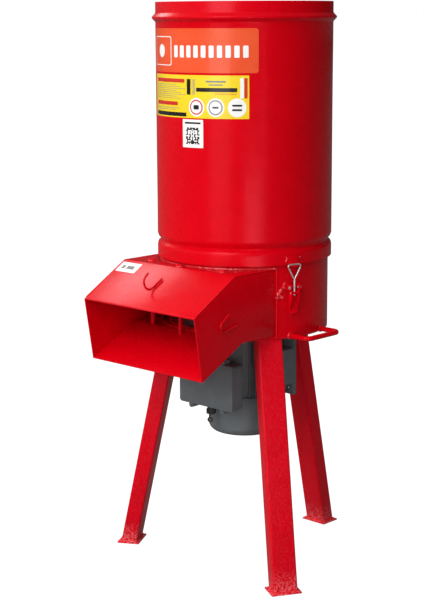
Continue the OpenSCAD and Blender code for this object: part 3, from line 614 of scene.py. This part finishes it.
run = standRun["hoodArc"]
beads = [bead(arcPoints(weld["chamber"] + run["out"], -90 - reach, -90 + reach, weld["hood"] + run["up"]),
              run["radius"])]
for side in (-1, 1):
    run = standRun["handles"]
    for y in run["y"]:
        beads.append(ringBead(at(side * run["x"], y, run["z"]), (1, 0, 0), run["ring"], run["radius"]))
    run = standRun["sideHook"]
    ends = [at(side * run["x"], *run[end]) for end in ("start", "end")]
    beads.append(bead(stepsBetween(*ends), run["radius"]))
run = standRun["studs"]
for x, y in run["places"]:
    beads.append(ringBead(at(x, y, weld["hood"] + run["up"]), (0, 0, 1), run["ring"], run["radius"]))
run = standRun["topHook"]
for x in run["x"]:
    beads.append(bead(stepsBetween(at(x, *run["start"]), at(x, *run["end"])), run["radius"]))
run = standRun["legs"]
for angle in run["turns"]:
    turnLeg = Matrix.Rotation(math.radians(angle), 3, "Z")
    for out, z in run["ends"]:
        corners = [Vector((out + sx * run["deep"], sy * run["wide"], z))
                   for sx, sy in ((1, 1), (-1, 1), (-1, -1), (1, -1))]
        corners = [at(*(turnLeg @ c)) for c in corners]
        route = []
        for a, b in zip(corners, corners[1:] + corners[:1]):
            route += stepsBetween(a, b)[:-1]
        beads.append(bead(route, run["radius"], closed=True))
finished("weld_beads_stand", joined(beads, "weld_beads_stand"), "stand", redWeldPaintedHighlight, weld["smooth"])

lumps = tackLumps(tacks["bracket"], tacks["bracketRadius"])
finished("weld_beads_latch", joined(lumps, "weld_beads_latch"), "stand", redWeldPaintedHighlight, weld["smooth"])

foot, head = (around(seam["radius"], seam["turn"], seam[end]) for end in ("low", "high"))
beads = [bead(stepsBetween(foot, head), seam["bead"])] + tackLumps(tacks["keeper"], tacks["keeperRadius"])
finished("weld_beads_hopper", joined(beads, "weld_beads_hopper"), "hopper", redWeldPaintedHighlight, weld["smooth"])
print("weld beads laid")

# bag hooks: bent from one length of wire each

hook = {
    "wire": 2.5, "sides": 16, "smooth": 60,
    "armSteps": 8, "curlSteps": 18, "tipSteps": 5,
    "top": {"root": (-9, -273, 726.4), "tilt": 30.8, "lean": 0, "arm": 34, "curl": 18.5, "turn": 176,
            "tip": 7},
    "side": {"root": (184, -225, 638), "tilt": 14, "lean": 8, "arm": 42, "curl": 13.5, "turn": 158,
             "tip": 24},
}


def hookLine(kind, side=1):
    # an arm down the sheet, a curl, and a tip that comes back
    part = hook[kind]
    line = [Vector((0, -part["arm"] * i / hook["armSteps"], 0)) for i in range(hook["armSteps"] + 1)]
    for i in range(1, hook["curlSteps"] + 1):
        a = math.radians(part["turn"] * i / hook["curlSteps"])
        line.append(Vector((0, -part["arm"] - part["curl"] * math.sin(a), part["curl"] * (1 - math.cos(a)))))
    onward = (line[-1] - line[-2]).normalized()
    last = line[-1]
    line += [last + onward * part["tip"] * i / hook["tipSteps"] for i in range(1, hook["tipSteps"] + 1)]
    tilted = Matrix.Rotation(math.radians(part["tilt"]), 3, "X")
    turned = tilted @ Matrix.Rotation(math.radians(part["lean"]), 3, "Y")
    x, y, z = part["root"]
    return [at(side * (x + p.x), y + p.y, z + p.z) for p in (turned @ q for q in line)]


wires = [sweep(points, hook["wire"], sides=hook["sides"])
         for points in (hookLine("top"), hookLine("side", 1), hookLine("side", -1))]
finished("bag_hook_wires", joined(wires, "bag_hook_wires"), "stand", redEnamel, hook["smooth"],
         replaces=["bag_hooks"])
print("hooks bent")

# rolled lip of the hood, and the sleeves the latches turn in

lip = {"half": 178, "y": -358.2, "z": 669.4, "radius": 2.3, "smooth": 60}
latch = {"out": 12.3, "z": 690, "radius": 4.2, "half": 8.6, "sides": 20, "smooth": 40}

hem = sweep([at(-lip["half"], lip["y"], lip["z"]), at(lip["half"], lip["y"], lip["z"])], lip["radius"])
finished("hood_hem", joined([hem], "hood_hem"), "stand", redEnamel, lip["smooth"])
for side, hand in ((1, "right"), (-1, "left")):
    a = math.radians(latchSide[side])
    half = Vector((-math.sin(a), math.cos(a), 0)) * latch["half"] / 1000
    centre = around(weld["chamber"] + latch["out"], latchSide[side], latch["z"])
    sleeve = sweep([centre - half, centre + half], latch["radius"], sides=latch["sides"])
    finished("latch_sleeve_" + hand, joined([sleeve], "latch_sleeve_" + hand), hand + "_loop", redEnamel,
             latch["smooth"])
print("latches dressed")

# stickers: flat shapes are laid on the drum or on the hood's slope

sticker = {
    "film": 0.3,           # thickness of the film, in millimetres
    "ink": 0.12,           # thickness of a printed shape on it
    "gap": 0.02,           # keeps one layer clear of the next
    "strip": 6.0,          # the film is cut into strips this wide, so it can bend round the drum
    "slopeStart": (0, -230, 748), "slope": math.atan2(78, 131),
    "cornerSteps": 5, "discSides": 40, "smooth": 30,
}


def onDrum(u, v, lift):
    return around(drum["radius"] + lift, math.degrees(u / drum["radius"]), v)


def onSlope(u, v, lift):
    a = sticker["slope"]
    x, y, z = sticker["slopeStart"]
    return at(x + u, y - v * math.cos(a) - lift * math.sin(a), z - v * math.sin(a) + lift * math.cos(a))


def arcOf(degrees):
    return drum["radius"] * math.radians(degrees)


def plate(fromX, toX, low, high, corner=0.0):
    # a flat rectangle with its corners rounded
    bm = bmesh.new()
    bmesh.ops.create_grid(bm, x_segments=1, y_segments=1, size=0.5)
    bmesh.ops.scale(bm, vec=(toX - fromX, high - low, 1), verts=bm.verts)
    bmesh.ops.translate(bm, vec=((toX + fromX) / 2, (high + low) / 2, 0), verts=bm.verts)
    if corner:
        bmesh.ops.bevel(bm, geom=bm.verts[:], offset=corner, offset_type="OFFSET",
                        segments=sticker["cornerSteps"], profile=0.5, affect="VERTICES", material=-1)
    return bm


def bar(fromAngle, toAngle, low, high, corner=0.0):
    return plate(arcOf(fromAngle), arcOf(toAngle), low, high, corner)


def disc(angle, z, radius):
    bm = bmesh.new()
    bmesh.ops.create_circle(bm, cap_ends=True, segments=sticker["discSides"], radius=radius)
    bmesh.ops.translate(bm, vec=(arcOf(angle), z, 0), verts=bm.verts)
    return bm


def laid(name, shapes, surface, slot, lift, thick, place=onDrum, body="hopper", replaces=()):
    # thickens flat shapes, cuts them into strips and bends them on to their place
    bm = bmesh.new()
    for shape in shapes:
        part = bpy.data.meshes.new("shape")
        shape.to_mesh(part)
        shape.free()
        bm.from_mesh(part)
        bpy.data.meshes.remove(part)
    low = min(v.co.x for v in bm.verts)
    high = max(v.co.x for v in bm.verts)
    for i in range(1, int((high - low) / sticker["strip"]) + 1):
        bmesh.ops.bisect_plane(bm, geom=bm.verts[:] + bm.edges[:] + bm.faces[:],
                               plane_co=(low + i * sticker["strip"], 0, 0), plane_no=(1, 0, 0))
    for raised in bmesh.ops.extrude_face_region(bm, geom=bm.faces[:])["geom"]:
        if isinstance(raised, bmesh.types.BMVert):
            raised.co.z += thick
    for v in bm.verts:
        v.co = place(v.co.x, v.co.y, v.co.z + lift)
    finished(name, meshOf(bm, name), body, surface, sticker["smooth"], replaces)


# layers from the drum outwards: a film, then the first, second and later printed layers on it
film = {"lift": sticker["gap"], "thick": sticker["film"]}
layers = [{"lift": sticker["film"] + sticker["gap"], "thick": sticker["ink"]}]
for above in (0, 1, 2, 4):
    lift = sticker["film"] + sticker["ink"] * (1 + above) + 2 * sticker["gap"]
    layers.append({"lift": lift, "thick": sticker["ink"]})

# bars are angles from and to, heights from and to, and a corner radius; discs are angle, height and radius

headline = {
    "film": (-128, -38.8, 1195, 1294, 6),
    "plate": (-124, -100, 1210, 1276, 6),
    "panel": (-123.3, -100.7, 1212, 1274, 5),
    "disc": (-112, 1243, 15),
    "slat": (-96.9, -93.6, 1229, 1256, 2.5), "slats": 10, "slatStep": 5.4,
}

laid("headline_film", [bar(*headline["film"])], orangeFilm, "orange_sticker", **film,
     replaces=["headline_label"])
laid("headline_plate", [bar(*headline["plate"])], whiteFilm, "white_sticker", **layers[0])
laid("headline_panel", [bar(*headline["panel"])], orangeFilm, "orange_sticker", **layers[1])
left, right, low, high, corner = headline["slat"]
shifts = [headline["slatStep"] * i for i in range(headline["slats"])]
slats = [bar(left + shift, right + shift, low, high, corner) for shift in shifts]
laid("headline_bars", [disc(*headline["disc"])] + slats, whiteFilm, "white_sticker", **layers[2])

notice = {
    "film": (-124.5, -44.6, 1093, 1190, 1.5),
    "red": ((-121, -88, 1172.5, 1181), (-121, -94, 1120.5, 1129), (-47.6, -45.6, 1139, 1184),
            (-66, -52, 1148, 1149.2)),
    "black": ((-122, -86.5, 1096, 1105), (-86, -83.1, 1146, 1181), (-78.8, -51.9, 1153, 1162)),
    "line": (-121, -95, 1167, 1168), "lines": 8, "lineStep": 4.4, "ragged": 4,
    "under": ((-121, -92, 1114, 1115), (-121, -96, 1110, 1111)),
    "post": (-82, -81.6, 1146, 1181), "posts": 3,
    "caption": ((-72, -59, 1174, 1178), (-70, -61, 1167, 1170)),
    "white": (-50.1, -47.9, 1139, 1184),
    "discZ": 1118, "discs": (-78.8, -65.6, -52.0), "disc": 21, "ring": 17, "heart": 14,
    # which disc, half its width, heights from and to from the disc's centre, corner radius
    "marks": ((0, 7, -5, 5, 2), (1, 7, -2, 2, 1), (2, 11, 3, 7, 1), (2, 11, -7, -3, 1)),
}

laid("notice_film", [bar(*notice["film"])], yellowFilm, "yellow_sticker", **film, replaces=["notice_label"])
laid("notice_red", [bar(*row) for row in notice["red"]], redFilm, "red_paint", **layers[1])
laid("notice_black", [bar(*row) for row in notice["black"]], blackFilm, "black_plastic", **layers[0])
left, right, low, high = notice["line"]
lines = []
for i in range(notice["lines"]):
    drop = notice["lineStep"] * i
    lines.append(bar(left, right + (i % 3) * notice["ragged"], low - drop, high - drop))
lines += [bar(*row) for row in notice["under"]]
left, right, low, high = notice["post"]
lines += [bar(left + i, right + i, low, high) for i in range(notice["posts"])]
lines += [bar(*row) for row in notice["caption"]]
laid("notice_lines", lines, greyFilm, "black_plastic", **layers[0])
angles, discZ = notice["discs"], notice["discZ"]
laid("notice_discs", [disc(a, discZ, notice["disc"]) for a in angles] + [bar(*notice["white"])], whiteFilm,
     "white_sticker", **layers[0])
laid("notice_ring_red", [disc(angles[0], discZ, notice["ring"])], redFilm, "red_paint", **layers[1])
laid("notice_ring_grey", [disc(angles[1], discZ, notice["ring"])], greyFilm, "black_plastic", **layers[1])
laid("notice_hearts", [disc(a, discZ, notice["heart"]) for a in angles[:2]], whiteFilm, "white_sticker",
     **layers[3])
laid("notice_marks",
     [plate(arcOf(angles[which]) - half, arcOf(angles[which]) + half, discZ + low, discZ + high, corner)
      for which, half, low, high, corner in notice["marks"]],
     blackFilm, "black_plastic", **layers[4])

code = {
    "film": (-89.6, -74.0, 1026, 1090, 1),
    "heading": (-87.8, -75.8, 1080, 1084),
    "middle": -81.8, "bottom": 1034, "cell": 2.9, "rows": 13, "columns": 7,
    "filled": 0.52,       # the share of cells that are black
}

laid("code_film", [bar(*code["film"])], whiteFilm, "white_sticker", **film, replaces=["code_label"])
cell = code["cell"]
blocks = [bar(*code["heading"])]
for row in range(code["rows"]):
    for column in range(code["columns"]):
        # a plain pattern of blocks, the same on its left and right
        if random.random() < code["filled"]:
            for sign in (-1, 1) if column else (1,):
                x = arcOf(code["middle"]) + sign * column * cell
                low = code["bottom"] + row * cell
                blocks.append(plate(x - cell / 2, x + cell / 2, low, low + cell))
laid("code_blocks", blocks, blackFilm, "black_plastic", **layers[0])

power = {
    # distances across and down the slope from and to, and a corner radius
    "film": (-174, -110, 9, 43, 1.5),
    "bars": ((-164, -154, 20, 32, 1), (-148, -124, 20, 32, 1)),
}

laid("power_film", [plate(*power["film"])], whiteFilm, "white_sticker", **film, place=onSlope, body="stand",
     replaces=["power_label"])
laid("power_bars", [plate(*row) for row in power["bars"]], blackFilm, "black_plastic", **layers[0],
     place=onSlope, body="stand")
print("stickers laid")
